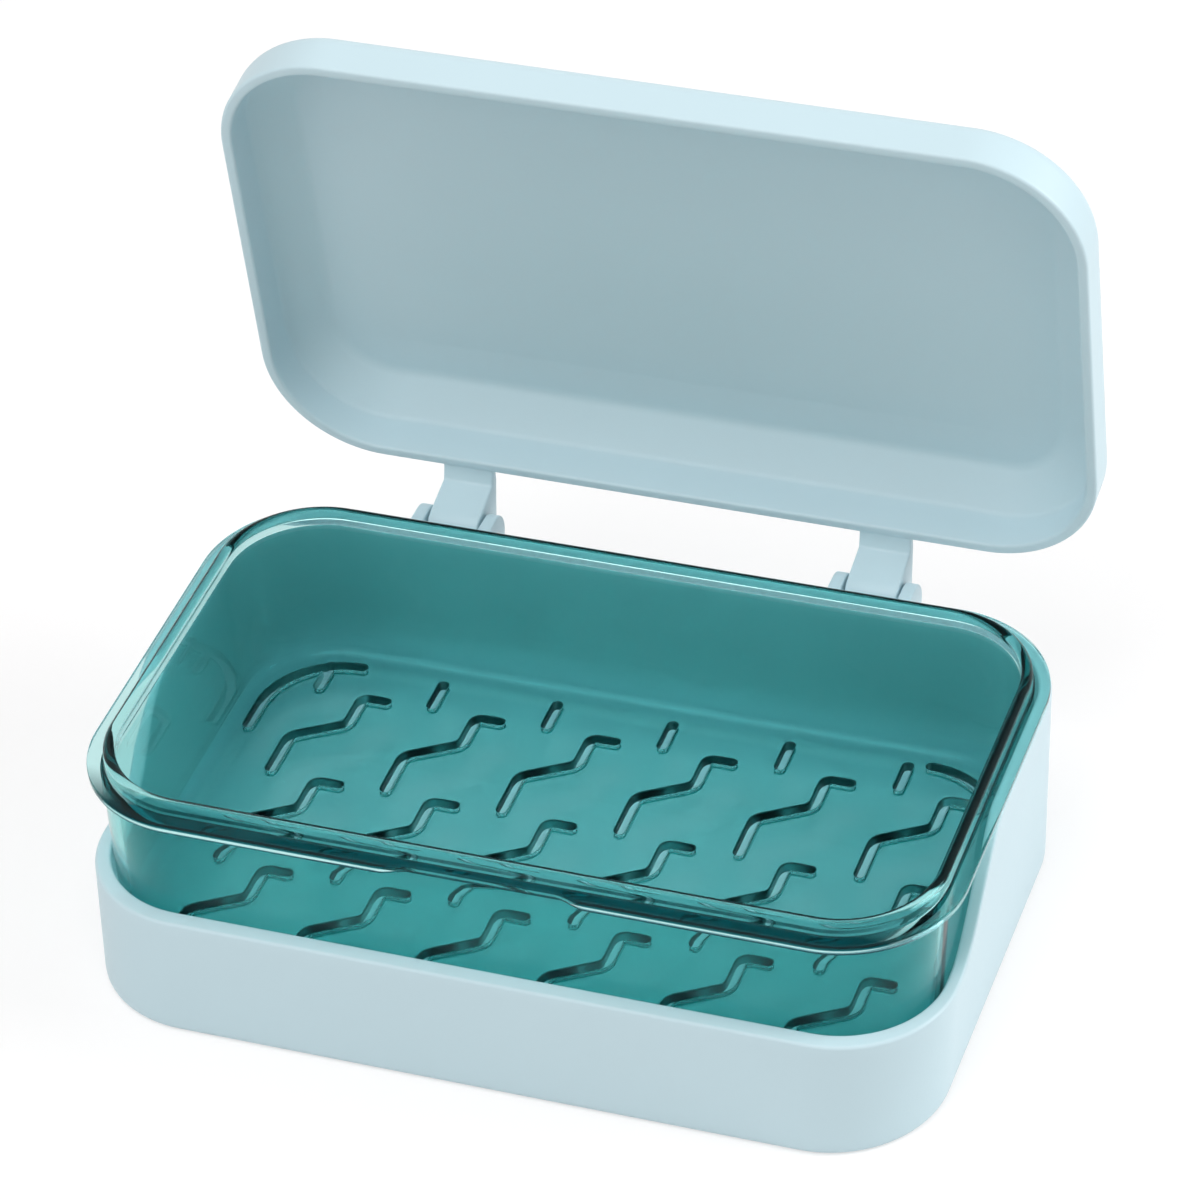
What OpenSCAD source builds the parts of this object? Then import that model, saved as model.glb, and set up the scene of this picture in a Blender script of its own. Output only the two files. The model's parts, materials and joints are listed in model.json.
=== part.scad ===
/* [Case] */
// Length of the case at its rim
case_len = 130; // [120:1:140]
// Depth of the case at its rim, front to back
case_dep = 77; // [72:1:84]
// How much the foot of the case is shorter than its rim
foot_len_less = 3; // [0:0.5:4]
// How far the foot of the front wall stands forward of the rim
foot_forward = 5; // [3:0.5:6]
// How far the foot of the back wall stands behind the rim
foot_back = 1.8; // [0:0.1:2]
// Corner radius of the case in plan
corner_r = 17; // [15:0.5:19]
// Height of the side and back walls
case_h = 33; // [32:0.5:34]
// Height of the low front wall
front_h = 18.2; // [16:0.2:20]
// Thickness of the side and back walls
case_wall = 2; // [1.8:0.1:2.2]
// Thickness of the front wall at its rim
front_wall = 2.8; // [2.6:0.1:3]

/* [Swoop of the rim] */
// Where the rim starts to climb, from the centre of the case
swoop_front_y = -22; // [-24:0.5:-18]
// Where the rim reaches its full height, from the centre of the case
swoop_back_y = -1; // [-4:0.5:4]

/* [Drain tray] */
// Thickness of the tray's flange
flange_t = 1.2; // [1:0.1:1.4]
// How far the raised lip stands in from the edge of the flange
lip_inset = 2.5; // [2.3:0.1:2.7]
// Height of the lip above the flange
lip_h = 2.3; // [1.5:0.1:3]
// Thickness of the lip
lip_t = 1.8; // [1.6:0.1:2]
// Thickness of the tray's walls and floor
tray_wall = 1.6; // [1.4:0.1:1.8]
// Height of the tray's floor above the ground
floor_z = 10.5; // [9:0.5:12]
// Length of the finger notch in the front of the flange
notch_len = 31; // [26:1:36]
// Depth of the finger notch
notch_dep = 1.4; // [1:0.1:1.4]

/* [Drain slots] */
// Width of a slot
slot_w = 1.4; // [1:0.1:1.8]
// Columns of slots across the tray
slot_cols = 6; // [4:1:6]
// Distance between the columns
slot_pitch_x = 18.3; // [18:0.1:18.6]
// Distance between the rows
slot_pitch_y = 20.2; // [20:0.1:20.6]

/* [Lid] */
// Depth of the lid over all
lid_h = 12.5; // [12:0.5:15]
// Height of the straight band at the lid's edge
lid_band = 5.5; // [4.5:0.5:6]
// Radius where the straight band turns into the sloping shoulder
shoulder_r = 3; // [2.5:0.5:4]
// How far the shoulder leans in, in degrees from upright
shoulder_lean = 52; // [46:1:58]
// Radius between the shoulder and the flat top
crown_r = 8; // [5:0.5:10]
// Thickness of the lid
lid_wall = 1.7; // [1.5:0.1:1.8]
// Angle at which the lid stands open
open_angle = 82; // [0:1:105]

/* [Hinges] */
// Distance between the two hinges
hinge_span = 65.9; // [60:0.1:70]
// How far the pair of hinges stands to the left of the middle
hinge_shift = 0.9; // [0:0.1:1]
// Width of the arm between a hinge's ears
arm_w = 8; // [7:0.1:9]
// Thickness of an ear
ear_t = 2.1; // [1.8:0.1:2.8]
// Radius of an ear
ear_r = 3.5; // [3.2:0.1:3.8]
// Radius of a hinge pin
pin_r = 1; // [0.8:0.1:1.2]

/* [Hidden] */

case_blue = [0.74, 0.82, 0.86];
tray_teal = [0.16, 0.47, 0.46, 0.6];
pin_steel = [0.7, 0.71, 0.72];

// Pivot of the hinges, seen from the side
pivot_y = 45.3;
pivot_z = 27.4;
arm_gap = 0.3;
run_clearance = 0.05;

// The arm seen from the side: the bar off the lid, its neck and its knuckle
knuckle_r = 2.6;
bar_t = 1.5;
bar_fall = 0.2;
bar_root = 1;
neck_y = 40.8;
neck_z = 33.6;
heel_gap = 0.5;
back_r = 0.9;
front_lean = 18;

// Radii at the foot of the case, outside and inside
foot_round = 1.2;
sump_round = 1.8;
case_floor = 2;

// Gap between the tray's flange and the rim of the shut lid
rim_gap = 0.1;

// How far the top of the tray's walls stands in from the flange's edge
tray_side_inset = 2.3;
tray_front_inset = 1.5;
tray_back_inset = 2.4;
tray_corner_less = 1.7;
// How far the walls draw in on their way down, and how far the front wall leans out instead
tray_draft = 1.2;
tray_front_rake = 1.1;
floor_round = 1.6;
flange_corner_more = 0.8;
lid_corner_more = 0.6;
notch_end = 5;

// Film thickness of a loft's sections, and the steps of its round parts
film = 0.02;
fine = 64;
edge_steps = 4;
crown_steps = 4;
reach = 200;

flange_top = case_h + flange_t;
lip_top = flange_top + lip_h;
lid_rim_z = flange_top + rim_gap;

// A section is [z, length, front y, back y, corner radius]
function lerp(a, b, t) = a + (b - a) * t;
function section_at(low, high, z) =
    [for (i = [0 : 4]) i == 0 ? z : lerp(low[i], high[i], (z - low[0]) / (high[0] - low[0]))];
function inset(s, by) = [s[0], s[1] - 2 * by, s[2] + by, s[3] - by, s[4] - by];
function ease(t) = (1 - cos(180 * t)) / 2;

// A plate with round corners, drawn exactly
module round_rect(s, by = 0) {
    p = inset(s, by);
    translate([0, (p[2] + p[3]) / 2]) {
        square([p[1] - 2 * p[4], p[3] - p[2]], center = true);
        square([p[1], p[3] - p[2] - 2 * p[4]], center = true);
        for (sx = [-1, 1], sy = [-1, 1])
            translate([sx * (p[1] / 2 - p[4]), sy * ((p[3] - p[2]) / 2 - p[4])])
                circle(r = p[4], $fn = fine);
    }
}

// A smooth body through a list of sections, lowest first
module loft(sections) {
    top = max([for (s = sections) s[0]]);
    hull()
        for (s = sections, sx = [-1, 1], y = [s[2] + s[4], s[3] - s[4]])
            translate([sx * (s[1] / 2 - s[4]), y, min(s[0], top - film)])
                cylinder(r = s[4], h = film, $fn = fine);
}

// Sections that round a lower edge with radius r
function rounded_foot(low, high, r) =
    [for (i = [0 : 3])
        let (a = 90 * i / 3)
        inset(section_at(low, high, low[0] + r * (1 - sin(a))), r * (1 - cos(a)))];

case_low = [0, case_len - foot_len_less, -case_dep / 2 - foot_forward, case_dep / 2 + foot_back, corner_r];
case_high = [case_h, case_len, -case_dep / 2, case_dep / 2, corner_r];
sump_low = [case_floor, case_low[1] - 2 * case_wall, case_low[2] + front_wall,
    case_low[3] - case_wall, corner_r - case_wall];
sump_high = [case_h + 1, case_high[1] - 2 * case_wall, case_high[2] + front_wall,
    case_high[3] - case_wall, corner_r - case_wall];

// The rim seen from the side: low at the front, then one smooth climb
module above_the_rim() {
    steps = 20;
    curve = [for (i = [0 : steps])
        [lerp(swoop_front_y, swoop_back_y, i / steps), lerp(front_h, case_h, ease(i / steps))]];
    rotate([90, 0, 90])
        linear_extrude(height = reach, center = true)
            polygon(concat([[-reach / 2, front_h]], curve,
                [[swoop_back_y, 2 * case_h], [-reach / 2, 2 * case_h]]));
}

// One ear, from the back wall to round the pin
module ear() {
    rotate([90, 0, 90])
        linear_extrude(height = ear_t, center = true) {
            translate([pivot_y, pivot_z])
                circle(r = ear_r, $fn = fine);
            translate([case_dep / 2 - 0.5, pivot_z - ear_r])
                square([pivot_y - case_dep / 2 + 0.5, 2 * ear_r]);
        }
}

// A round bar along X through both hinges' pivot line
module pivot_bar(x, r, len) {
    translate([x, pivot_y, pivot_z])
        rotate([0, 90, 0])
            cylinder(r = r, h = len, center = true, $fn = fine);
}

hinge_xs = [-hinge_span / 2 - hinge_shift, hinge_span / 2 - hinge_shift];
ear_off = arm_w / 2 + arm_gap + ear_t / 2;
pin_len = 2 * (ear_off + ear_t / 2);

module case() {
    color(case_blue) {
        difference() {
            union() {
                difference() {
                    loft(concat(rounded_foot(case_low, case_high, foot_round), [case_high]));
                    loft(concat(rounded_foot(sump_low, sump_high, sump_round), [sump_high]));
                    above_the_rim();
                }
                for (x = hinge_xs, side = [-1, 1])
                    translate([x + side * ear_off, 0, 0])
                        ear();
            }
            for (x = hinge_xs)
                pivot_bar(x, pin_r, pin_len + 2);
        }
    }
}

// The tray's outside and inside, and the two plates of its stepped rim
tray_high = [case_h + flange_t / 2, case_len - 2 * tray_side_inset, -case_dep / 2 + tray_front_inset,
    case_dep / 2 - tray_back_inset, corner_r - tray_corner_less];
tray_low = [floor_z - tray_wall, tray_high[1] - 2 * tray_draft, tray_high[2] - tray_front_rake,
    tray_high[3] - tray_draft, corner_r - case_wall];
bowl_high = inset([case_h + 1, tray_high[1], tray_high[2], tray_high[3], tray_high[4]], tray_wall);
bowl_low = inset([floor_z, tray_low[1], tray_low[2], tray_low[3], tray_low[4]], tray_wall);
flange_plan = [case_h, case_len, -case_dep / 2, case_dep / 2, corner_r + flange_corner_more];

// The finger notch, with soft ends
module finger_notch() {
    steps = 10;
    y0 = flange_plan[2];
    half = notch_len / 2;
    right = [for (i = [0 : steps]) [half - notch_end * i / steps, y0 + notch_dep * ease(i / steps)]];
    left = [for (i = [steps : -1 : 0]) [-half + notch_end * i / steps, y0 + notch_dep * ease(i / steps)]];
    translate([0, 0, case_h - 1])
        linear_extrude(height = flange_t + 2)
            polygon(concat([[half, y0 - 5]], right, left, [[-half, y0 - 5]]));
}

// Path of one zigzag slot: up, across, up again and a short hook
slot_path = [[0, 0], [0, 8], [7.5, 12.8], [7.5, 19.2], [11.2, 19.2]];
slot_x0 = -49.9;
slot_y0 = -36.4;
first_leg = 3.4;
last_leg = 5;

// Bend of a corner slot: its centre, its radius and its straight leg
corner_slot_at = [45, 18];
corner_slot_r = 12;
corner_slot_leg = 5.2;

// Outline of a path drawn with a pen of width w, with mitred corners
function unit(v) = v / norm(v);
function turn_left(v) = [-v[1], v[0]];
function side_of(path, w, i) =
    let (a = i == 0 ? unit(path[1] - path[0]) : unit(path[i] - path[i - 1]))
    let (b = i == len(path) - 1 ? a : unit(path[i + 1] - path[i]))
    let (n = unit(turn_left(a) + turn_left(b)))
    n * (w / 2) / (n * turn_left(a));
function ribbon(path, w) = concat(
    [for (i = [0 : len(path) - 1]) path[i] + side_of(path, w, i)],
    [for (i = [len(path) - 1 : -1 : 0]) path[i] - side_of(path, w, i)]);

module drain_slots() {
    first_row = concat([slot_path[1] - [0, first_leg]], [for (i = [1 : 4]) slot_path[i]]);
    last_row = [slot_path[0], [0, last_leg]];
    for (col = [0 : slot_cols - 1], row = [0 : 3])
        translate([slot_x0 + col * slot_pitch_x, slot_y0 + row * slot_pitch_y, floor_z - tray_wall - 1])
            linear_extrude(height = tray_wall + 2)
                polygon(ribbon(row == 0 ? first_row : row == 3 ? last_row : slot_path, slot_w));
}

// A slot that follows each back corner of the floor, and runs on along the side
module corner_slots() {
    bend = [for (i = [0 : 6]) corner_slot_at + corner_slot_r * [cos(90 - 15 * i), sin(90 - 15 * i)]];
    path = concat(bend, [bend[6] - [0, corner_slot_leg]]);
    for (side = [0, 1])
        mirror([side, 0, 0])
            translate([0, 0, floor_z - tray_wall - 1])
                linear_extrude(height = tray_wall + 2)
                    polygon(ribbon(path, slot_w));
}

module drain_tray() {
    color(tray_teal) {
        difference() {
            union() {
                loft(concat(rounded_foot(tray_low, tray_high, floor_round), [tray_high]));
                translate([0, 0, case_h])
                    linear_extrude(height = flange_t)
                        round_rect(flange_plan);
                translate([0, 0, case_h])
                    linear_extrude(height = lip_top - case_h)
                        round_rect(flange_plan, lip_inset);
            }
            loft(concat(rounded_foot(bowl_low, bowl_high, floor_round), [bowl_high]));
            translate([0, 0, case_h])
                linear_extrude(height = 2 * lip_h + flange_t)
                    round_rect(flange_plan, lip_inset + lip_t);
            finger_notch();
            drain_slots();
            corner_slots();
        }
    }
}

lid_plan = [lid_rim_z, case_len, -case_dep / 2, case_dep / 2, corner_r + lid_corner_more];

// Side outline of the lid as [height, inset]: straight band, edge, shoulder, crown
function crown_line(band, edge, lean, crown, h) =
    let (z1 = h - crown * (1 - sin(lean)))
    let (run = (z1 - band - edge * sin(lean)) * tan(lean))
    let (x1 = edge * (1 - cos(lean)) + run)
    concat([[0, 0]],
        [for (i = [0 : edge_steps])
            let (a = lean * i / edge_steps)
            [band + edge * sin(a), edge * (1 - cos(a))]],
        [for (i = [0 : crown_steps])
            let (a = lerp(lean, 90, i / crown_steps))
            [z1 + crown * (sin(a) - sin(lean)), x1 + crown * (cos(lean) - cos(a))]]);

// The lid's body, or its hollow when it is set in by the thickness t: four turned corners, joined
module dome(t) {
    plan = inset(lid_plan, t);
    line = crown_line(lid_band, shoulder_r - t, shoulder_lean, crown_r - t, lid_h - t);
    post = concat([[0, 0]], [for (p = line) [plan[4] - p[1], p[0]]], [[0, lid_h - t]]);
    hull()
        for (sx = [-1, 1], y = [plan[2] + plan[4], plan[3] - plan[4]])
            translate([sx * (plan[1] / 2 - plan[4]), y, plan[0]])
                rotate_extrude($fn = fine)
                    polygon(post);
}

// One goose-neck arm of the lid, as seen from the side with the lid shut
module arm_side() {
    root_y = case_dep / 2 - bar_root;
    heel_y = case_dep / 2 + heel_gap;
    bar_low = lid_rim_z + rim_gap;
    bar_high = bar_low + bar_t;
    front = [pivot_y - knuckle_r * cos(front_lean), pivot_z + knuckle_r * sin(front_lean)];
    back_low = [pivot_y + knuckle_r, pivot_z];
    back_high = [pivot_y + knuckle_r - back_r / 2, neck_z - back_r];
    difference() {
        union() {
            polygon([[root_y, bar_low], [heel_y, bar_low], [heel_y, neck_z], [neck_y, neck_z],
                front, [pivot_y, pivot_z], back_low, back_high,
                back_high - [back_r, -back_r], [neck_y, bar_high - bar_fall], [root_y, bar_high]]);
            translate(back_high - [back_r, 0])
                circle(r = back_r, $fn = fine);
            translate([pivot_y, pivot_z])
                circle(r = knuckle_r, $fn = fine);
        }
        translate([pivot_y, pivot_z])
            circle(r = pin_r + run_clearance, $fn = fine);
    }
}

module lid_shut() {
    difference() {
        dome(0);
        translate([0, 0, -film])
            dome(lid_wall);
    }
    for (x = hinge_xs)
        translate([x, 0, 0])
            rotate([90, 0, 90])
                linear_extrude(height = arm_w, center = true)
                    arm_side();
}

module lid() {
    color(case_blue)
        translate([0, pivot_y, pivot_z])
            rotate([-open_angle, 0, 0])
                translate([0, -pivot_y, -pivot_z])
                    lid_shut();
}

module hinge_pin_left() {
    color(pin_steel)
        pivot_bar(hinge_xs[0], pin_r, pin_len);
}

module hinge_pin_right() {
    color(pin_steel)
        pivot_bar(hinge_xs[1], pin_r, pin_len);
}

case();
drain_tray();
lid();
hinge_pin_left();
hinge_pin_right();
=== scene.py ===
import json
from math import pi, radians

import bpy
import numpy as np
from bpy.props import FloatProperty, FloatVectorProperty, IntProperty, PointerProperty
from mathutils import Matrix, Vector


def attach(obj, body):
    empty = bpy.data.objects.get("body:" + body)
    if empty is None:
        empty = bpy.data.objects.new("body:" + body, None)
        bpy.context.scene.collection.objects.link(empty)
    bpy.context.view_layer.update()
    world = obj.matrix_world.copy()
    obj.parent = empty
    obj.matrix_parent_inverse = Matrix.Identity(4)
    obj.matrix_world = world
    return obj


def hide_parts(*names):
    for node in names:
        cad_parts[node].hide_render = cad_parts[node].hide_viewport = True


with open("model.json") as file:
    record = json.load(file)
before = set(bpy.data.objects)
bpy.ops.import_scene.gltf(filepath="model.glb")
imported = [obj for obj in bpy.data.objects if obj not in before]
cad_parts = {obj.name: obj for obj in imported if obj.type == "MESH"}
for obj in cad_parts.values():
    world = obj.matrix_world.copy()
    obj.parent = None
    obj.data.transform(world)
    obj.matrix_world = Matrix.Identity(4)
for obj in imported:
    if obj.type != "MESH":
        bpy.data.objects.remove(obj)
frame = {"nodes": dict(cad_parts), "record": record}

bl_info = {
    "name": "Travel soap box",
    "version": (1, 0, 0),
    "blender": (4, 5, 0),
    "location": "View3D > Sidebar > Soap Box",
    "description": "Builds a hinged travel soap box with a drain tray around its packed parts",
    "category": "Object",
}

MM = 0.001

# How far the first ring of a flat face stands in from the rounding round that face
FLAT_RING = 1 * MM


# Sizes and colours


class CaseSizes(bpy.types.PropertyGroup):
    """Sizes of the case, in metres."""

    length: FloatProperty(
        name="Length", description="Length of the case at its rim", default=0.130, unit="LENGTH")
    depth: FloatProperty(
        name="Depth", description="Depth of the case at its rim", default=0.077, unit="LENGTH")
    height: FloatProperty(
        name="Height", description="Height of the side and back walls", default=0.033, unit="LENGTH")
    front_height: FloatProperty(
        name="Front height", description="Height of the low front wall", default=0.0182, unit="LENGTH")
    foot_less: FloatProperty(
        name="Foot shorter by", description="How much the foot is shorter than the rim",
        default=0.003, unit="LENGTH")
    foot_forward: FloatProperty(
        name="Foot forward", description="How far the foot of the front wall stands forward",
        default=0.005, unit="LENGTH")
    foot_back: FloatProperty(
        name="Foot back", description="How far the foot of the back wall stands back",
        default=0.0018, unit="LENGTH")
    corner: FloatProperty(
        name="Corner radius", description="Radius of the upright corners", default=0.017, unit="LENGTH")
    wall: FloatProperty(
        name="Wall", description="Thickness of the side and back walls", default=0.002, unit="LENGTH")
    front_wall: FloatProperty(
        name="Front wall", description="Thickness of the front wall at its rim", default=0.0028, unit="LENGTH")
    rim_round: FloatProperty(
        name="Rim rounding", description="Radius on the edges of the rim", default=0.0005, unit="LENGTH")
    swoop_front: FloatProperty(
        name="Swoop starts", description="Where the rim starts to climb", default=-0.022, unit="LENGTH")
    swoop_back: FloatProperty(
        name="Swoop ends", description="Where the rim reaches its full height", default=-0.001, unit="LENGTH")


class TraySizes(bpy.types.PropertyGroup):
    """Sizes of the drain tray, in metres."""

    flange: FloatProperty(
        name="Flange", description="Thickness of the flange", default=0.0012, unit="LENGTH")
    lip_inset: FloatProperty(
        name="Lip inset", description="How far the lip stands in from the flange's edge",
        default=0.0025, unit="LENGTH")
    lip_height: FloatProperty(
        name="Lip height", description="Height of the lip above the flange", default=0.0023, unit="LENGTH")
    lip: FloatProperty(
        name="Lip", description="Thickness of the lip", default=0.0018, unit="LENGTH")
    wall: FloatProperty(
        name="Wall", description="Thickness of the walls and the floor", default=0.0016, unit="LENGTH")
    floor: FloatProperty(
        name="Floor", description="Height of the floor above the ground", default=0.0105, unit="LENGTH")
    notch: FloatProperty(
        name="Finger notch", description="Length of the notch in the front of the flange",
        default=0.031, unit="LENGTH")
    notch_depth: FloatProperty(
        name="Notch depth", description="Depth of the finger notch", default=0.0014, unit="LENGTH")
    slot: FloatProperty(
        name="Slot", description="Width of a drain slot", default=0.0014, unit="LENGTH")
    slot_edge: FloatProperty(
        name="Slot edge", description="Radius on the edges of a slot", default=0.00022, unit="LENGTH")
    columns: IntProperty(
        name="Columns", description="Columns of drain slots", default=6, min=4, max=6)


class LidSizes(bpy.types.PropertyGroup):
    """Sizes of the lid, in metres."""

    height: FloatProperty(
        name="Height", description="Depth of the lid over all", default=0.0125, unit="LENGTH")
    band: FloatProperty(
        name="Band", description="Height of the straight band at the edge", default=0.0055, unit="LENGTH")
    edge: FloatProperty(
        name="Edge radius", description="Radius where the band turns into the shoulder",
        default=0.003, unit="LENGTH")
    lean: FloatProperty(
        name="Shoulder lean", description="How far the shoulder leans in from upright",
        default=radians(52), subtype="ANGLE")
    crown: FloatProperty(
        name="Crown radius", description="Radius between the shoulder and the flat top",
        default=0.008, unit="LENGTH")
    inner_crown: FloatProperty(
        name="Inner crown", description="Radius inside, between the shoulder and the flat",
        default=0.003, unit="LENGTH")
    wall: FloatProperty(
        name="Wall", description="Thickness of the lid", default=0.0017, unit="LENGTH")
    rim_round: FloatProperty(
        name="Rim rounding", description="Radius on the edges of the rim", default=0.00045, unit="LENGTH")
    open_angle: FloatProperty(
        name="Open angle", description="Angle at which the lid stands open",
        default=radians(82), subtype="ANGLE")


class HingeSizes(bpy.types.PropertyGroup):
    """Sizes of the hinges, in metres."""

    span: FloatProperty(
        name="Span", description="Distance between the two hinges", default=0.0659, unit="LENGTH")
    shift: FloatProperty(
        name="Shift", description="How far the hinges stand to the left of the middle",
        default=0.0009, unit="LENGTH")
    arm: FloatProperty(
        name="Arm", description="Width of an arm", default=0.008, unit="LENGTH")
    gap: FloatProperty(
        name="Gap", description="Gap between an arm and an ear", default=0.0004, unit="LENGTH")
    ear: FloatProperty(
        name="Ear", description="Thickness of an ear", default=0.0020, unit="LENGTH")
    ear_radius: FloatProperty(
        name="Ear radius", description="Radius of an ear round its pin", default=0.0035, unit="LENGTH")
    pin: FloatProperty(
        name="Pin radius", description="Radius of a pin", default=0.001, unit="LENGTH")


class Finishes(bpy.types.PropertyGroup):
    """Colours of the plastics and the pins."""

    shell: FloatVectorProperty(
        name="Shell", description="Colour of the case and the lid",
        default=(0.60, 0.762, 0.822), subtype="COLOR")
    tray: FloatVectorProperty(
        name="Tray", description="Surface tint of the tray",
        default=(0.50, 0.84, 0.825), subtype="COLOR")
    depth_tint: FloatVectorProperty(
        name="Depth tint", description="Colour that the tray's plastic lets through",
        default=(0.05, 0.7, 0.7), subtype="COLOR")
    pin: FloatVectorProperty(
        name="Pin", description="Colour of the pins", default=(0.7, 0.71, 0.72), subtype="COLOR")


# Shape functions: each gives whole arrays


def walk(corner_steps, long_steps, short_steps):
    """One turn round a rectangle with round corners, counter-clockwise from the front right corner.
    Each column holds the signs of the corner before it and after it, its share of the way between them,
    and its outward angle."""
    signs = np.array([(1, -1), (1, 1), (-1, 1), (-1, -1)])
    parts = []
    for k, run in enumerate((short_steps, long_steps, short_steps, long_steps)):
        bend = np.linspace(0, 1, corner_steps + 1)
        share = np.concatenate([0 * bend, np.arange(1, run) / run])
        angle = np.radians(90 * (k - 1) + 90 * np.concatenate([bend, np.ones(run - 1)]))
        ends = np.tile(np.concatenate([signs[k], signs[(k + 1) % 4]]), (len(share), 1))
        parts.append(np.column_stack([ends, share, angle]))
    return np.concatenate(parts).T


def ring(turn, size, front, back, radius):
    """A rounded rectangle in plan. A column's place is the centre of its corner plus the radius along its outward
    angle, and on a straight run it is the mix of the two corners' places by its share."""
    sx, sy, tx, ty, share, angle = turn

    def place(x_side, y_side):
        x = x_side * (size / 2 - radius) + radius * np.cos(angle)
        y = np.where(y_side > 0, back - radius, front + radius) + radius * np.sin(angle)
        return x, y

    (x1, y1), (x2, y2) = place(sx, sy), place(tx, ty)
    return x1 + (x2 - x1) * share, y1 + (y2 - y1) * share


def drafted(turn, low, high, z, inset=0.0):
    """A ring at height z of a body whose plan changes in a straight line from the section low to the section high.
    A section is (height, length, front y, back y, corner radius)."""
    t = (z - low[0]) / (high[0] - low[0])
    size, front, back, radius = (low[i] + (high[i] - low[i]) * t for i in range(1, 5))
    x, y = ring(turn, size - 2 * inset, front + inset, back - inset, radius - inset)
    return np.stack(np.broadcast_arrays(x, y, z), axis=-1)


def quarter(steps):
    """Sine and cosine of evenly spaced angles from 0 to a right angle, as columns."""
    a = np.linspace(0, pi / 2, steps + 1)[:, None]
    return np.sin(a), np.cos(a)


def ease(t):
    """A soft step: half of one minus the cosine of half a turn, held level outside 0 to 1."""
    return (1 - np.cos(pi * np.clip(t, 0, 1))) / 2


def swoop(y, sizes):
    """Height of the case's rim at y: low at the front, then one soft step up to the full height."""
    t = (y - sizes.swoop_front) / (sizes.swoop_back - sizes.swoop_front)
    return sizes.front_height + (sizes.height - sizes.front_height) * ease(t)


def crown_line(band, edge, lean, crown, height, steps=8):
    """Side line of the lid as heights and insets: an arc from the top of the straight band up to the lean,
    a straight shoulder, and a second arc that ends level at the full height."""
    z1 = height - crown * (1 - np.sin(lean))
    run = (z1 - band - edge * np.sin(lean)) * np.tan(lean)
    x1 = edge * (1 - np.cos(lean)) + run
    a = np.linspace(0, lean, steps + 1)
    b = np.linspace(lean, pi / 2, steps + 1)
    z = np.concatenate([band + edge * np.sin(a), z1 + crown * (np.sin(b) - np.sin(lean))])
    inset = np.concatenate([edge * (1 - np.cos(a)), x1 + crown * (np.cos(lean) - np.cos(b))])
    return z, inset


def soft_path(corners, bend, steps=6):
    """A line through the corners whose bends are quadratic curves that start and end the distance bend
    from the corner."""
    p = np.asarray(corners, dtype=float)
    step = np.diff(p, axis=0)
    unit = step / np.linalg.norm(step, axis=1)[:, None]
    t = np.linspace(0, 1, steps + 1)[None, :, None]
    mid, start, end = p[1:-1, None], (p[1:-1] - unit[:-1] * bend)[:, None], (p[1:-1] + unit[1:] * bend)[:, None]
    curves = (1 - t) ** 2 * start + 2 * t * (1 - t) * mid + t**2 * end
    return np.concatenate([p[:1], curves.reshape(-1, 2), p[-1:]])


def pen_outline(path, half, cap_steps=8):
    """Outline of a path drawn with a round pen, counter-clockwise: along its right side, round the end,
    back along its left side, round the start."""
    along = np.gradient(path, axis=0)
    along /= np.linalg.norm(along, axis=1)[:, None]
    left = np.column_stack([-along[:, 1], along[:, 0]])
    a = np.linspace(-pi / 2, pi / 2, cap_steps + 1)[1:-1, None]
    end = path[-1] + half * (along[-1] * np.cos(a) + left[-1] * np.sin(a))
    start = path[0] - half * (along[0] * np.cos(a) + left[0] * np.sin(a))
    return np.concatenate([path - left * half, end, (path + left * half)[::-1], start])


def turned(points, pivot, angle):
    """Points turned about a line along X through the pivot, so that a positive angle lifts what lies in front
    of the line."""
    y, z = points[..., 1] - pivot[1], points[..., 2] - pivot[2]
    c, s = np.cos(angle), np.sin(angle)
    return np.stack([points[..., 0], pivot[1] + y * c + z * s, pivot[2] - y * s + z * c], axis=-1)


# Meshes from arrays


def skin_faces(rows, columns, first):
    """Quads between neighbouring rows and columns, closed round the columns, and one flat face on the first row
    and on the last."""
    k, j = np.meshgrid(np.arange(rows - 1), np.arange(columns), indexing="ij")
    n = (j + 1) % columns
    quads = np.stack([k * columns + j, k * columns + n, (k + 1) * columns + n, (k + 1) * columns + j], axis=-1)
    ends = [np.arange(columns)[::-1], (rows - 1) * columns + np.arange(columns)]
    return (quads.reshape(-1, 4) + first).tolist() + [(e + first).tolist() for e in ends]


def loop_faces(rows, columns, first):
    """Quads between neighbouring rows and columns, closed both ways, as on a plate round a bore."""
    k, j = np.meshgrid(np.arange(rows), np.arange(columns), indexing="ij")
    m, n = (k + 1) % rows, (j + 1) % columns
    quads = np.stack([k * columns + j, m * columns + j, m * columns + n, k * columns + n], axis=-1)
    return (quads.reshape(-1, 4) + first).tolist()


def piece_from(name, grids, sharp=40, faces_of=skin_faces):
    """A smooth mesh object from closed grids of points, each with rows, columns and three coordinates."""
    verts, faces = [], []
    total = 0
    for grid in grids:
        rows, columns = grid.shape[:2]
        verts.append(grid.reshape(-1, 3))
        faces += faces_of(rows, columns, total)
        total += rows * columns
    mesh = bpy.data.meshes.new(name)
    mesh.from_pydata(np.concatenate(verts), [], faces)
    mesh.validate()
    mesh.shade_smooth()
    mesh.set_sharp_from_angle(angle=radians(sharp))
    piece = bpy.data.objects.new(name, mesh)
    bpy.context.scene.collection.objects.link(piece)
    return piece


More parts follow.
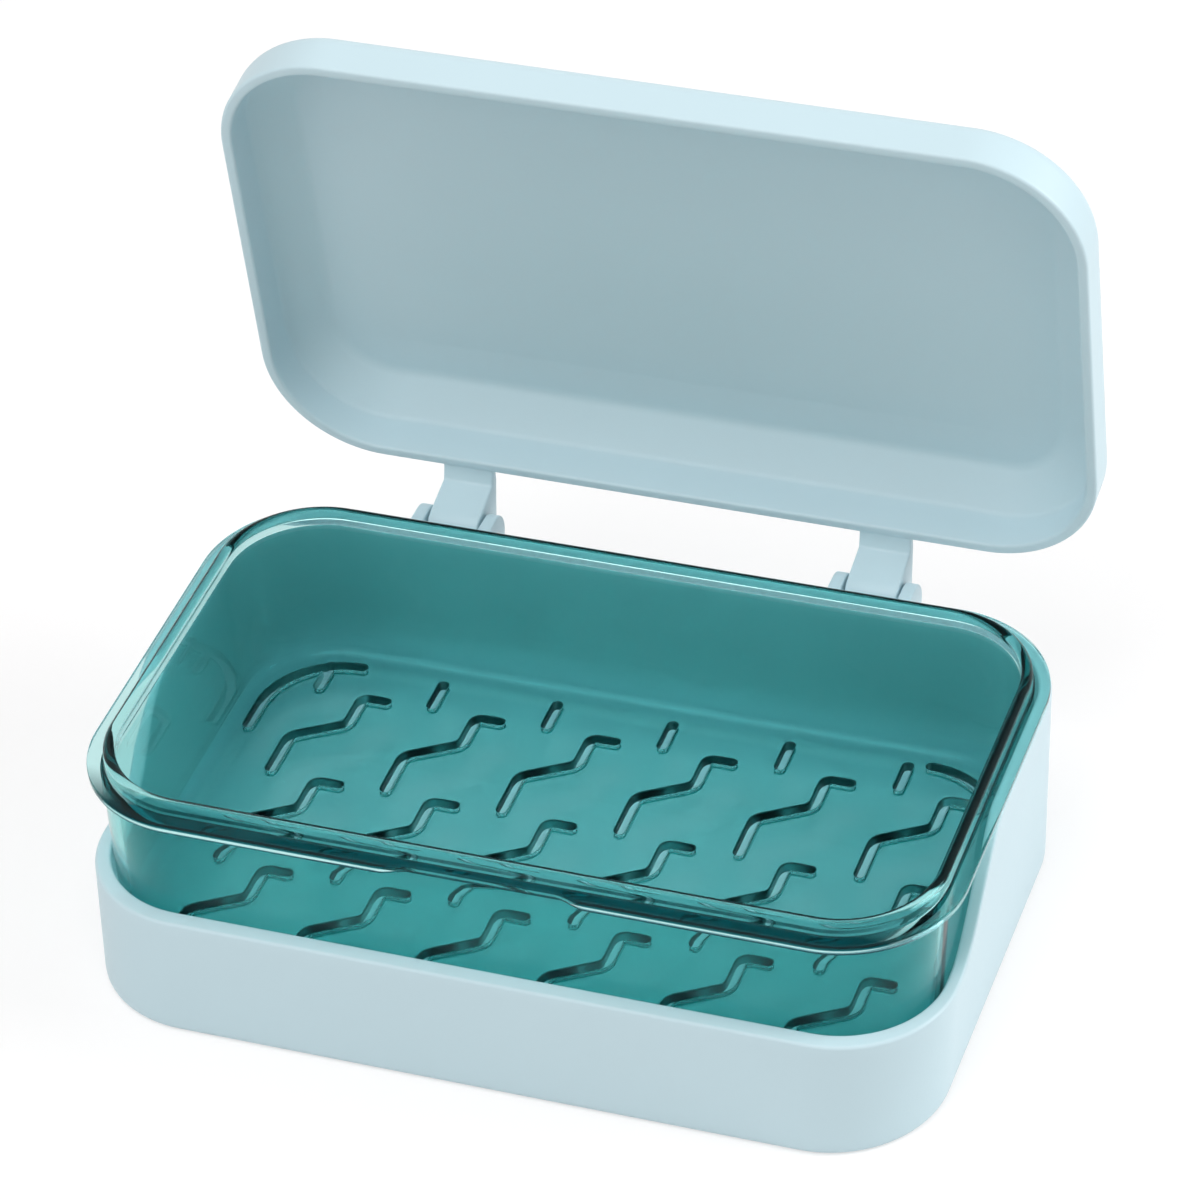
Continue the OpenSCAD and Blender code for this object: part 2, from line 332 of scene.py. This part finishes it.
def cut_away(piece, grids, lining, sharp=40):
    """Takes closed grids of points out of a piece, and gives the cut faces the lining material.
    The piece's other modifiers are applied with the cut."""
    tool = piece_from(piece.name + "_cut", grids)
    tool.data.materials.append(lining)
    step = piece.modifiers.new("cut", "BOOLEAN")
    step.operation, step.solver = "DIFFERENCE", "EXACT"
    step.object, step.material_mode = tool, "TRANSFER"
    bpy.context.view_layer.update()
    made = bpy.data.meshes.new_from_object(piece.evaluated_get(bpy.context.evaluated_depsgraph_get()))
    piece.modifiers.clear()
    old, piece.data = piece.data, made
    made.name = piece.name
    bpy.data.objects.remove(tool)
    bpy.data.meshes.remove(old)
    made.set_sharp_from_angle(angle=radians(sharp))


def flat_where(piece, z_values):
    """Level faces at the given heights are shaded flat, so that a slot's edge doesn't shade the floor round it."""
    mesh = piece.data
    count = len(mesh.polygons)
    normal, centre = np.empty(count * 3), np.empty(count * 3)
    mesh.polygons.foreach_get("normal", normal)
    mesh.polygons.foreach_get("center", centre)
    level = np.abs(normal.reshape(-1, 3)[:, 2]) > 0.9999
    near = np.min(np.abs(centre.reshape(-1, 3)[:, 2, None] - np.array(z_values)), axis=1) < 0.01 * MM
    mesh.polygons.foreach_set("use_smooth", ~(level & near))


# Materials


def new_material(name):
    """An empty node material with its shader linked to its output."""
    mat = bpy.data.materials.new(name)
    mat.use_nodes = True
    tree = mat.node_tree
    tree.nodes.clear()
    out = tree.nodes.new("ShaderNodeOutputMaterial")
    shader = tree.nodes.new("ShaderNodeBsdfPrincipled")
    tree.links.new(shader.outputs["BSDF"], out.inputs["Surface"])
    return mat, tree, shader


def noise(tree, vector, scale, detail):
    """A noise texture on the given coordinates."""
    node = tree.nodes.new("ShaderNodeTexNoise")
    node.inputs["Scale"].default_value = scale
    node.inputs["Detail"].default_value = detail
    tree.links.new(vector, node.inputs["Vector"])
    return node.outputs["Fac"]


def spread(tree, value, low, high):
    """Spreads a value between 0 and 1 over the range low to high."""
    node = tree.nodes.new("ShaderNodeMapRange")
    node.inputs["To Min"].default_value = low
    node.inputs["To Max"].default_value = high
    tree.links.new(value, node.inputs["Value"])
    return node.outputs["Result"]


def blended(tree, factor, first, second, kind="MIX"):
    """Two colours mixed, or multiplied, by a factor. Each of the three is a value or another node's output."""
    mix = tree.nodes.new("ShaderNodeMix")
    mix.data_type, mix.blend_type = "RGBA", kind
    for socket, value in (("Factor", factor), ("A", first), ("B", second)):
        if isinstance(value, bpy.types.NodeSocket):
            tree.links.new(value, mix.inputs[socket])
        else:
            mix.inputs[socket].default_value = value
    return mix.outputs["Result"]


def tinted(tree, value, colour, low, high):
    """The colour made a little darker or lighter by a value."""
    darker, lighter = [c * low for c in colour], [min(1, c * high) for c in colour]
    return blended(tree, value, (*darker, 1), (*lighter, 1))


def steps_of(tree, value, start, stop, colours):
    """Colours along a coordinate: each is given with its place, in millimetres between start and stop,
    and they blend in between."""
    ramp = tree.nodes.new("ShaderNodeValToRGB")
    share = spread(tree, value, 0.0, 1.0)
    share.node.inputs["From Min"].default_value = start * MM
    share.node.inputs["From Max"].default_value = stop * MM
    tree.links.new(share, ramp.inputs["Fac"])
    stops = ramp.color_ramp.elements
    stops[0].color, stops[1].color = (*colours[0][1], 1), (*colours[-1][1], 1)
    for place, colour in colours:
        stops.new((place - start) / (stop - start)).color = (*colour, 1)
    return ramp.outputs["Color"]


def raised(tree, height, distance, strength, under=None):
    """A bump whose full height is the distance in metres, on top of another bump if one is given."""
    node = tree.nodes.new("ShaderNodeBump")
    node.inputs["Distance"].default_value = distance
    node.inputs["Strength"].default_value = strength
    tree.links.new(height, node.inputs["Height"])
    if under is not None:
        tree.links.new(under, node.inputs["Normal"])
    return node.outputs["Normal"]


def shell_material(colour):
    """Satin moulded plastic: a faint cloudiness in the colour, fine grain in the gloss, and a very low moulded
    waviness."""
    mat, tree, shader = new_material("satin_blue_plastic")
    at = tree.nodes.new("ShaderNodeTexCoord").outputs["Object"]
    tree.links.new(tinted(tree, noise(tree, at, 35, 3), colour, 0.985, 1.015), shader.inputs["Base Color"])
    tree.links.new(spread(tree, noise(tree, at, 900, 4), 0.34, 0.44), shader.inputs["Roughness"])
    grain = raised(tree, noise(tree, at, 2600, 2), 0.02 * MM, 0.35)
    tree.links.new(raised(tree, noise(tree, at, 28, 1), 0.6 * MM, 0.1, grain), shader.inputs["Normal"])
    shader.inputs["IOR"].default_value = 1.49
    shader.inputs["Specular IOR Level"].default_value = 0.35
    return mat


def tray_material(name, surface, depth, smoothest, roughest):
    """Clear tinted plastic: light bends through it and takes on more colour the further it goes, over a faint moulded
    waviness. The flange and the lip are painted paler, a painted reflection together with a painted stand-in for the
    light through their thin plastic. Along the front, the flange's top and its lower edge carry a painted shade band:
    a deep colour standing in for the darkness seen where one looks down the wall below them."""
    mat, tree, shader = new_material(name)
    at = tree.nodes.new("ShaderNodeTexCoord").outputs["Object"]
    apart = tree.nodes.new("ShaderNodeSeparateXYZ")
    tree.links.new(at, apart.inputs["Vector"])
    towards_back, up = apart.outputs["Y"], apart.outputs["Z"]
    # pale is the painted paler tint of the flange and lip (painted reflection); deep is the colour of the painted
    # shade band along the front
    pale, deep = [c + 0.8 * (1 - c) for c in surface], (0.0, 0.03, 0.04, 1)
    black, white = (0, 0, 0), (1, 1, 1)
    # Painted reflection: above 33.3 mm the flange and the lip take the pale tint, standing in for the white shining on
    # them and the light through their thin plastic
    body_to_painted_pale = steps_of(tree, up, 32, 36, [(33.0, surface), (33.3, pale)])
    # Painted shade band: the heights of the flange's lower edge and of its top, where the deep colour is laid
    edges = steps_of(tree, up, 32, 36, [
        (32.95, black), (33.0, white), (33.4, white), (33.55, black),
        (33.8, black), (33.95, white), (34.3, white), (34.5, black)])
    # The painted shade band is held to the front: full in front of y = -35 mm, gone by -28 mm
    front = steps_of(tree, towards_back, -40, 0, [(-35, white), (-28, black)])
    # Mixes the deep colour of the painted shade band into the tint
    tint_with_painted_band = blended(tree, blended(tree, 1.0, edges, front, "MULTIPLY"), body_to_painted_pale, deep)
    cloud = tinted(tree, noise(tree, at, 40, 2), (1, 1, 1), 0.95, 1.0)
    tree.links.new(blended(tree, 1.0, tint_with_painted_band, cloud, "MULTIPLY"), shader.inputs["Base Color"])
    tree.links.new(spread(tree, noise(tree, at, 700, 3), smoothest, roughest), shader.inputs["Roughness"])
    tree.links.new(raised(tree, noise(tree, at, 60, 2), 0.6 * MM, 0.04), shader.inputs["Normal"])
    shader.inputs["Transmission Weight"].default_value = 1.0
    shader.inputs["IOR"].default_value = 1.3
    shader.inputs["Specular Tint"].default_value = (0.1, 0.7, 0.75, 1)
    shader.inputs["Coat Weight"].default_value = 0.08
    shader.inputs["Coat Roughness"].default_value = 0.03
    body = tree.nodes.new("ShaderNodeVolumeAbsorption")
    body.inputs["Color"].default_value = (*depth, 1)
    body.inputs["Density"].default_value = 110.0
    tree.links.new(body.outputs["Volume"], tree.nodes["Material Output"].inputs["Volume"])
    return mat


def pin_material(colour):
    """Drawn wire: fine rings round the pin, from noise squeezed along X."""
    mat, tree, shader = new_material("drawn_steel")
    at = tree.nodes.new("ShaderNodeTexCoord").outputs["Object"]
    squeeze = tree.nodes.new("ShaderNodeMapping")
    squeeze.inputs["Scale"].default_value = (9000, 300, 300)
    tree.links.new(at, squeeze.inputs["Vector"])
    lines = noise(tree, squeeze.outputs["Vector"], 1, 3)
    tree.links.new(tinted(tree, lines, colour, 0.85, 1.05), shader.inputs["Base Color"])
    tree.links.new(spread(tree, lines, 0.22, 0.42), shader.inputs["Roughness"])
    tree.links.new(raised(tree, lines, 0.01 * MM, 0.5), shader.inputs["Normal"])
    shader.inputs["Metallic"].default_value = 1.0
    return mat


def material(name, make, *args):
    """The material of that name, made on first use."""
    return bpy.data.materials.get(name) or make(*args)


# Operators


def hinge_centres(hinge):
    """X of the left and of the right hinge."""
    return [-hinge.span / 2 - hinge.shift, hinge.span / 2 - hinge.shift]


def pivot_of(name):
    """The place of a joint of the frame."""
    return next(j for j in frame["record"]["behaviour"]["joints"] if j["name"] == name)["pos_m"]


class SOAPBOX_OT_case(bpy.types.Operator):
    """Adds the case: a rounded tub whose rim swoops down to a low front, with its hinge ears"""

    bl_idname = "soapbox.case"
    bl_label = "Case"

    def shell(self, s):
        """Rows of rings: up the outside from the foot, over the rim, and down the inside to the floor.
        The rim's height in each column is the swoop at that column's place."""
        turn = walk(20, 90, 64)
        foot_round, sump_round, floor, flange_gap = 1.2 * MM, 1.8 * MM, 2 * MM, 0.05 * MM
        edge = s.rim_round
        low = (0.0, s.length - s.foot_less, -s.depth / 2 - s.foot_forward, s.depth / 2 + s.foot_back, s.corner)
        high = (s.height, s.length, -s.depth / 2, s.depth / 2, s.corner)
        in_low, in_high = ((z, length - 2 * s.wall, front + s.front_wall, back - s.wall, corner - s.wall)
                           for z, length, front, back, corner in (low, high))
        rim = np.full(turn.shape[1], s.height)
        for _ in range(4):
            rim = swoop(drafted(turn, low, high, rim)[..., 1], s) - flange_gap
        up = np.linspace(0, 1, 14)[:, None]
        outside = drafted(turn, low, high, foot_round + (rim - edge - foot_round) * up)
        inside = drafted(turn, in_low, in_high,
                         floor + sump_round + (rim - edge - floor - sump_round) * up[::-1])
        sin, cos = quarter(5)
        z = rim - edge + edge * sin
        outer, inner = drafted(turn, low, high, z), drafted(turn, in_low, in_high, z)
        thick = np.linalg.norm(inner - outer, axis=-1, keepdims=True)
        share = (edge * (1 - cos))[:, None] / thick
        over_out, over_in = outer + (inner - outer) * share, inner + (outer - inner) * share
        sin, cos = quarter(6)
        return np.concatenate([
            drafted(turn, low, high, np.array([[0.0]]), foot_round + FLAT_RING),
            drafted(turn, low, high, foot_round * (1 - sin[::-1]), foot_round * (1 - cos[::-1]))[:-1],
            outside[:-1], over_out, over_in[::-1], inside[1:-1],
            drafted(turn, in_low, in_high, floor + sump_round * (1 - sin), sump_round * (1 - cos)),
            drafted(turn, in_low, in_high, np.array([[floor]]), sump_round + FLAT_RING),
        ])

    def ear(self, x, hinge, back, pivot):
        """A plate with a bore: round the pin its outline is a circle behind and a box in front, as a distance from
        the pin for each direction. Rows go through the bore, out over the right face, round the edge and back over
        the left face."""
        root, e, half = 0.5 * MM, 0.3 * MM, hinge.ear / 2
        a = np.linspace(0, 2 * pi, 96, endpoint=False)
        c, s = np.cos(a), np.sin(a)
        reach = pivot[1] - back + root
        box = np.minimum(hinge.ear_radius / np.maximum(np.abs(s), 1e-6), reach / np.maximum(np.abs(c), 1e-6))
        out = np.where(c > 0, hinge.ear_radius, box)
        sin, cos = quarter(4)
        bore, edge = hinge.pin + 0 * a, out - e + e * sin
        r = np.concatenate([[bore, bore], edge, edge[::-1]])
        side = np.concatenate([[[-half], [half]], half - e + e * cos, -(half - e + e * cos)[::-1]])
        return np.stack([x + np.broadcast_to(side, r.shape), pivot[1] + r * c, pivot[2] + r * s], axis=-1)

    def execute(self, context):
        s, hinge = context.scene.soapbox_case, context.scene.soapbox_hinge
        plastic = material("satin_blue_plastic", shell_material, context.scene.soapbox_finish.shell)
        tub = piece_from("case_shell", [self.shell(s)])
        off = hinge.arm / 2 + hinge.gap + hinge.ear / 2
        pivot = pivot_of("lid_hinge")
        plates = [self.ear(x + side * off, hinge, s.depth / 2, pivot)
                  for x in hinge_centres(hinge) for side in (-1, 1)]
        ears = piece_from("case_ears", plates, faces_of=loop_faces)
        for piece in (tub, ears):
            piece.data.materials.append(plastic)
            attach(piece, "base")
            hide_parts("case")
        return {"FINISHED"}


class SOAPBOX_OT_tray(bpy.types.Operator):
    """Adds the drain tray: a clear tinted tub with a stepped rim and zigzag drain slots"""

    bl_idname = "soapbox.tray"
    bl_label = "Drain tray"

    def tub(self, case, s):
        """Rows of rings: up the outside from the floor, out under the flange, round its edge, in to the lip,
        over it, and down the inside."""
        turn = walk(22, 126, 60)
        side_inset, front_inset, back_inset, corner_less = 2.3 * MM, 1.5 * MM, 2.4 * MM, 1.7 * MM
        draft, front_rake, foot_corner_less = 1.2 * MM, 1.1 * MM, 2 * MM
        floor_round, flange_round, lip_fillet, lip_round = 1.6 * MM, 0.3 * MM, 0.25 * MM, 0.85 * MM
        flange_corner_more, notch_end, notch_reach, ledge_drop = 0.8 * MM, 5 * MM, 1.2 * MM, 0.6 * MM
        top, under = case.height, s.floor - s.wall
        high = (top + s.flange / 2, case.length - 2 * side_inset, -case.depth / 2 + front_inset,
                case.depth / 2 - back_inset, case.corner - corner_less)
        low = (under, high[1] - 2 * draft, high[2] - front_rake, high[3] - draft, case.corner - foot_corner_less)
        plan = (case.length, -case.depth / 2, case.depth / 2, case.corner + flange_corner_more)

        def level(z, inset, notched=False):
            x, y = ring(turn, plan[0] - 2 * inset, plan[1] + inset, plan[2] - inset, plan[3] - inset)
            x, y, z = np.broadcast_arrays(x, y, z)
            if notched:
                on_front = y < plan[1] + notch_reach
                y = y + on_front * s.notch_depth * ease((s.notch / 2 - np.abs(x)) / notch_end)
            return np.stack([x, y, z], axis=-1)

        sin, cos = quarter(7)
        up = np.linspace(0, 1, 8)[:, None]
        flange_top, lip_top = top + s.flange, top + s.flange + s.lip_height
        lip_out, lip_in = s.lip_inset, s.lip_inset + s.lip
        wall_low, bowl_low = under + floor_round, s.floor + floor_round
        return np.concatenate([
            drafted(turn, low, high, np.array([[under]]), floor_round + FLAT_RING),
            drafted(turn, low, high, under + floor_round * (1 - sin[::-1]), floor_round * (1 - cos[::-1]))[:-1],
            drafted(turn, low, high, wall_low + (top - wall_low) * up),
            level(top + flange_round * (1 - cos), flange_round * (1 - sin), True),
            level(flange_top - flange_round * (1 - sin), flange_round * (1 - cos), True),
            level(flange_top + lip_fillet * (1 - cos), lip_out - lip_fillet * (1 - sin)),
            level(lip_top - lip_round * (1 - sin), lip_out + lip_round * (1 - cos)),
            level(lip_top - lip_round * (1 - cos), lip_in - lip_round * (1 - sin)),
            level(np.array([[flange_top]]), np.array([[lip_in]])),
            drafted(turn, low, high, bowl_low + (top - ledge_drop - bowl_low) * up[::-1], s.wall)[:-1],
            drafted(turn, low, high, s.floor + floor_round * (1 - sin), s.wall + floor_round * (1 - cos)),
            drafted(turn, low, high, np.array([[s.floor]]), s.wall + floor_round + FLAT_RING),
        ])

    def slots(self, s):
        """Through slots: a zigzag path drawn with a round pen, column by column and row by row, and one slot round
        each back corner. The pen grows by a quarter circle at the floor's two faces, which rounds the slot's edges."""
        path = np.array([[0, 0], [0, 8], [7.5, 12.8], [7.5, 19.2], [11.2, 19.2]]) * MM
        start, pitch = np.array([-49.9, -36.4]) * MM, np.array([18.3, 20.2]) * MM
        first_leg, last_leg, bend, overrun = 3.4 * MM, 5 * MM, 1.3 * MM, 0.1 * MM
        corner_at, corner_radius, corner_leg = np.array([45, 18]) * MM, 12 * MM, 5.2 * MM
        first, last = path.copy(), np.array([[0, 0], [0, last_leg]])
        first[0] = path[1] - [0, first_leg]
        sin, cos = (wave[:, 0] for wave in quarter(3))
        under = s.floor - s.wall
        half = s.slot / 2 + s.slot_edge * np.concatenate([[1], 1 - sin, (1 - sin)[::-1], [1]])
        z = np.concatenate([[under - overrun], under + s.slot_edge * (1 - cos),
                            s.floor - s.slot_edge * (1 - cos)[::-1], [s.floor + overrun]])

        def cutter(line, side=1):
            """A slot's solid. On the left side it is mirrored, and its columns turned round to keep it outward."""
            rims = (np.stack([pen_outline(line, h) for h in half]) * [side, 1])[:, ::side]
            return np.concatenate([rims, np.broadcast_to(z[:, None, None], rims.shape[:2] + (1,))], axis=-1)

        zigzags = []
        for row, corners in enumerate((first, path, path, last)):
            line = soft_path(corners, bend) if len(corners) > 2 else np.linspace(corners[0], corners[1], 6)
            zigzags += [cutter(line + (start + pitch * [column, row])) for column in range(s.columns)]
        a = np.radians(np.linspace(90, 0, 15))
        arc = corner_at + corner_radius * np.column_stack([np.cos(a), np.sin(a)])
        line = np.concatenate([arc, arc[-1:] - [[0, corner_leg / 2], [0, corner_leg]]])
        return zigzags, [cutter(line, side) for side in (1, -1)]

    def execute(self, context):
        case, s = context.scene.soapbox_case, context.scene.soapbox_tray
        finish = context.scene.soapbox_finish
        tray = piece_from("drain_tray_clear", [self.tub(case, s)])
        clear = tray_material("clear_teal_plastic", finish.tray, finish.depth_tint, 0.02, 0.05)
        cut = tray_material("cut_teal_plastic", finish.tray, finish.depth_tint, 0.40, 0.50)
        tray.data.materials.append(clear)
        for slots in self.slots(s):
            cut_away(tray, slots, cut)
        flat_where(tray, (s.floor, s.floor - s.wall))
        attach(tray, "base")
        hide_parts("drain_tray")
        return {"FINISHED"}


class SOAPBOX_OT_lid(bpy.types.Operator):
    """Adds the lid: a shallow dome with a sloping shoulder, and its two goose-neck arms"""

    bl_idname = "soapbox.lid"
    bl_label = "Lid"

    def dome(self, case, tray, s):
        """Rows of rings for the shut lid: out over the inside's flat, down the inside, under the rim, and up the
        outside."""
        turn = walk(26, 90, 50)
        rest_gap, corner_more, corner_least, inner_ring = 0.1 * MM, 0.6 * MM, 1.5 * MM, 0.6 * MM
        rim, e = case.height + tray.flange + rest_gap, s.rim_round
        plan = (case.length, -case.depth / 2, case.depth / 2, case.corner + corner_more)
        z_out, in_out = crown_line(s.band, s.edge, s.lean, s.crown, s.height)
        z_in, in_in = crown_line(s.band, s.edge - s.wall, s.lean, s.inner_crown, s.height - s.wall)
        sin, cos = (wave[:, 0] for wave in quarter(4))
        down = np.linspace(0.85, 0.15, 4) * s.band
        flat = np.linspace(26, 11, 44) * MM
        z = np.concatenate([
            z_in[-1] + 0 * flat, z_in[-1:], z_in[::-1], down, e * (1 - sin),
            e * (1 - sin)[::-1], down[::-1], z_out, z_out[-1:]])[:, None]
        inset = np.concatenate([
            flat, in_in[-1:] + s.wall + inner_ring, in_in[::-1] + s.wall, s.wall + 0 * down, s.wall - e * (1 - cos),
            e * (1 - cos)[::-1], 0 * down, in_out, in_out[-1:] + FLAT_RING])[:, None]
        corner = np.maximum(plan[3] - inset, corner_least)
        x, y = ring(turn, plan[0] - 2 * inset, plan[1] + inset, plan[2] - inset, corner)
        inside = np.arange(len(inset))[:, None] <= len(flat) + len(z_in)
        z = z + inside * self.hollows(x, y)
        return np.stack(np.broadcast_arrays(x, y, rim + z), axis=-1)

    def hollows(self, x, y):
        """How far the lid's inside sinks towards the hinge side. Each of two stretches steepens as the square of the
        way across it and ends in a crease, after which the depth stays. Both fade out towards the lid's ends as half
        a cosine."""
        stretches = ((18 * MM, 24 * MM, 0.3 * MM), (27 * MM, 31 * MM, 0.2 * MM))
        end, fade = 57 * MM, 16 * MM
        depth = sum(deep * np.clip((y - start) / (crease - start), 0, 1) ** 2 for start, crease, deep in stretches)
        return depth * ease((end - np.abs(x)) / fade)

    def arm(self, x, hinge, pivot):
        """One arm of the shut lid: its side outline, in millimetres, carried across its width."""
        knuckle = 2.6
        front = np.array([(37.5, 34.4), (38.9, 34.4), (40.8, 33.6), (41.4, 27.8), (41.7, 26.4), (42.5, 25.4)])
        a = np.radians(np.linspace(240, 360, 11))
        round_pin = np.column_stack([pivot[1] / MM + knuckle * np.cos(a), pivot[2] / MM + knuckle * np.sin(a)])
        back = np.array([
            (47.9, 30.0), (47.8, 32.2), (47.5, 33.1), (46.9, 33.7), (45.3, 34.2), (43.0, 34.9), (40.8, 35.6),
            (37.5, 35.9)])
        line = np.concatenate([front, round_pin, back]) * MM
        across = x + np.array([-hinge.arm / 2, hinge.arm / 2])
        y, z = np.broadcast_to(line.T[:, None], (2, 2, len(line)))
        return np.stack([np.broadcast_to(across[:, None], y.shape), y, z], axis=-1)

    def bore(self, x, hinge, pivot):
        """A round rod on the pin's line, a little wider than the pin and longer than the arm's width: a circle
        carried along X."""
        clearance, overrun = 0.08 * MM, 0.2 * MM
        a = np.linspace(0, 2 * pi, 48, endpoint=False)
        r = hinge.pin + clearance
        ends = x + np.array([[-1], [1]]) * (hinge.arm / 2 + overrun)
        return np.stack(np.broadcast_arrays(ends, pivot[1] + r * np.cos(a), pivot[2] + r * np.sin(a)), axis=-1)

    def execute(self, context):
        scene = context.scene
        case, tray, s, hinge = scene.soapbox_case, scene.soapbox_tray, scene.soapbox_lid, scene.soapbox_hinge
        pivot, centres = pivot_of("lid_hinge"), hinge_centres(hinge)
        plastic = material("satin_blue_plastic", shell_material, scene.soapbox_finish.shell)
        shell = piece_from("lid_shell", [turned(self.dome(case, tray, s), pivot, s.open_angle)], 50)
        arms_sharp = 35
        arms = piece_from(
            "lid_arms", [turned(self.arm(x, hinge, pivot), pivot, s.open_angle) for x in centres], arms_sharp)
        soften = arms.modifiers.new("soft edges", "BEVEL")
        soften.width, soften.segments = 0.35 * MM, 3
        soften.limit_method, soften.angle_limit = "ANGLE", radians(arms_sharp)
        for piece in (shell, arms):
            piece.data.materials.append(plastic)
        cut_away(arms, [self.bore(x, hinge, pivot) for x in centres], plastic, arms_sharp)
        for piece in (shell, arms):
            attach(piece, "lid")
            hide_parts("lid")
        return {"FINISHED"}


class SOAPBOX_OT_pins(bpy.types.Operator):
    """Gives the two hinge pins their drawn steel"""

    bl_idname = "soapbox.pins"
    bl_label = "Hinge pins"

    def execute(self, context):
        steel = material("drawn_steel", pin_material, context.scene.soapbox_finish.pin)
        for name in ("hinge_pin_left", "hinge_pin_right"):
            node = frame["nodes"][name]
            node.data.materials.clear()
            node.data.materials.append(steel)
        return {"FINISHED"}


class SOAPBOX_OT_stage(bpy.types.Operator):
    """Adds the pale floor, the soft light and the camera"""

    bl_idname = "soapbox.stage"
    bl_label = "Stage"

    def seen_directly(self, tree):
        """1 for camera, glossy and transmission rays, and 0 for the rays that light the object."""
        rays = tree.nodes.new("ShaderNodeLightPath").outputs
        seen = rays["Is Camera Ray"]
        for kind in ("Is Glossy Ray", "Is Transmission Ray"):
            either = tree.nodes.new("ShaderNodeMath")
            either.operation = "MAXIMUM"
            tree.links.new(seen, either.inputs[0])
            tree.links.new(rays[kind], either.inputs[1])
            seen = either.outputs[0]
        return seen

    def world(self, scene):
        """A white world that is dimmer as a light than as a background."""
        world = bpy.data.worlds.new("studio")
        scene.world = world
        world.use_nodes = True
        tree = world.node_tree
        sky = tree.nodes["Background"]
        sky.inputs["Color"].default_value = (1, 1, 1, 1)
        tree.links.new(spread(tree, self.seen_directly(tree), 0.37, 1.0), sky.inputs["Strength"])

    def floor(self):
        """A wide level floor. To the eye it is lit up to white where no shadow falls, and it throws back more light
        than it shows."""
        half = 1.6
        mesh = bpy.data.meshes.new("floor")
        mesh.from_pydata([(-half, -half, 0), (half, -half, 0), (half, half, 0), (-half, half, 0)], [], [(0, 1, 2, 3)])
        floor = bpy.data.objects.new("floor", mesh)
        bpy.context.scene.collection.objects.link(floor)
        mat, tree, shader = new_material("pale_floor")
        at = tree.nodes.new("ShaderNodeTexCoord").outputs["Object"]
        thrown_back = tinted(tree, noise(tree, at, 4, 2), (0.82, 0.82, 0.82), 0.995, 1.005)
        shade = blended(tree, self.seen_directly(tree), thrown_back, (0.5, 0.49, 0.49, 1))
        tree.links.new(shade, shader.inputs["Base Color"])
        shader.inputs["Roughness"].default_value = 0.9
        shader.inputs["Specular IOR Level"].default_value = 0.1
        shader.inputs["Emission Color"].default_value = (1, 1, 1, 1)
        tree.links.new(spread(tree, self.seen_directly(tree), 0.0, 0.54), shader.inputs["Emission Strength"])
        mesh.materials.append(mat)

    def lamp(self, name, place, size, power):
        """A round soft lamp that faces the object."""
        data = bpy.data.lights.new(name, "AREA")
        data.shape, data.size, data.energy = "DISK", size, power
        lamp = bpy.data.objects.new(name, data)
        lamp.location = place
        aim = Vector((0, 0.02, 0.03)) - Vector(place)
        lamp.rotation_euler = aim.to_track_quat("-Z", "Y").to_euler()
        bpy.context.scene.collection.objects.link(lamp)

    def camera(self, scene):
        """The camera stands at a distance from its target, turned round it, raised above it and rolled a little."""
        turn, rise, roll, far = radians(20.9244), radians(37.8520), radians(-3.6731), 0.821528
        target = Vector((-0.010937, 0.043829, 0.020))
        focal_pixels, width_pixels, sensor = 5425.925, 1200, 36
        back = Vector((np.sin(turn) * np.cos(rise), -np.cos(turn) * np.cos(rise), np.sin(rise)))
        right = Vector((np.cos(turn), np.sin(turn), 0))
        up = back.cross(right)
        right, up = right * np.cos(roll) + up * np.sin(roll), up * np.cos(roll) - right * np.sin(roll)
        place = target + back * far
        data = bpy.data.cameras.new("camera")
        data.lens, data.sensor_width = focal_pixels / width_pixels * sensor, sensor
        data.clip_start, data.clip_end = 0.05, 20
        camera = bpy.data.objects.new("camera", data)
        camera.matrix_world = Matrix([(right[i], up[i], back[i], place[i]) for i in range(3)] + [(0, 0, 0, 1)])
        scene.collection.objects.link(camera)
        scene.camera = camera

    def execute(self, context):
        scene = context.scene
        self.world(scene)
        self.floor()
        self.lamp("side", (1.04, 0.39, 0.68), 0.8, 9.0)
        self.lamp("top", (-0.13, -0.32, 1.25), 0.9, 6.6)
        self.lamp("fill", (-0.44, -0.875, 0.775), 0.8, 2.55)
        self.camera(scene)
        scene.view_settings.view_transform = "Standard"
        return {"FINISHED"}


class SOAPBOX_PT_panel(bpy.types.Panel):
    """Lists the soap box's pieces in the sidebar"""

    bl_label = "Travel soap box"
    bl_idname = "SOAPBOX_PT_panel"
    bl_space_type = "VIEW_3D"
    bl_region_type = "UI"
    bl_category = "Soap Box"

    def draw(self, context):
        for step in STEPS:
            self.layout.operator(step.bl_idname)


STEPS = (SOAPBOX_OT_case, SOAPBOX_OT_tray, SOAPBOX_OT_lid, SOAPBOX_OT_pins, SOAPBOX_OT_stage)
GROUPS = {
    "soapbox_case": CaseSizes,
    "soapbox_tray": TraySizes,
    "soapbox_lid": LidSizes,
    "soapbox_hinge": HingeSizes,
    "soapbox_finish": Finishes,
}


def register():
    for group in GROUPS.values():
        bpy.utils.register_class(group)
    for step in STEPS + (SOAPBOX_PT_panel,):
        bpy.utils.register_class(step)
    for name, group in GROUPS.items():
        setattr(bpy.types.Scene, name, PointerProperty(type=group))


def unregister():
    for name in GROUPS:
        delattr(bpy.types.Scene, name)
    for step in (SOAPBOX_PT_panel,) + STEPS[::-1]:
        bpy.utils.unregister_class(step)
    for group in GROUPS.values():
        bpy.utils.unregister_class(group)


def main():
    """Builds the soap box round the frame."""
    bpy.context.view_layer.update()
    register()
    bpy.ops.soapbox.case()
    bpy.ops.soapbox.tray()
    bpy.ops.soapbox.lid()
    bpy.ops.soapbox.pins()
    bpy.ops.soapbox.stage()
    bpy.context.view_layer.update()


if __name__ == "__main__":
    main()
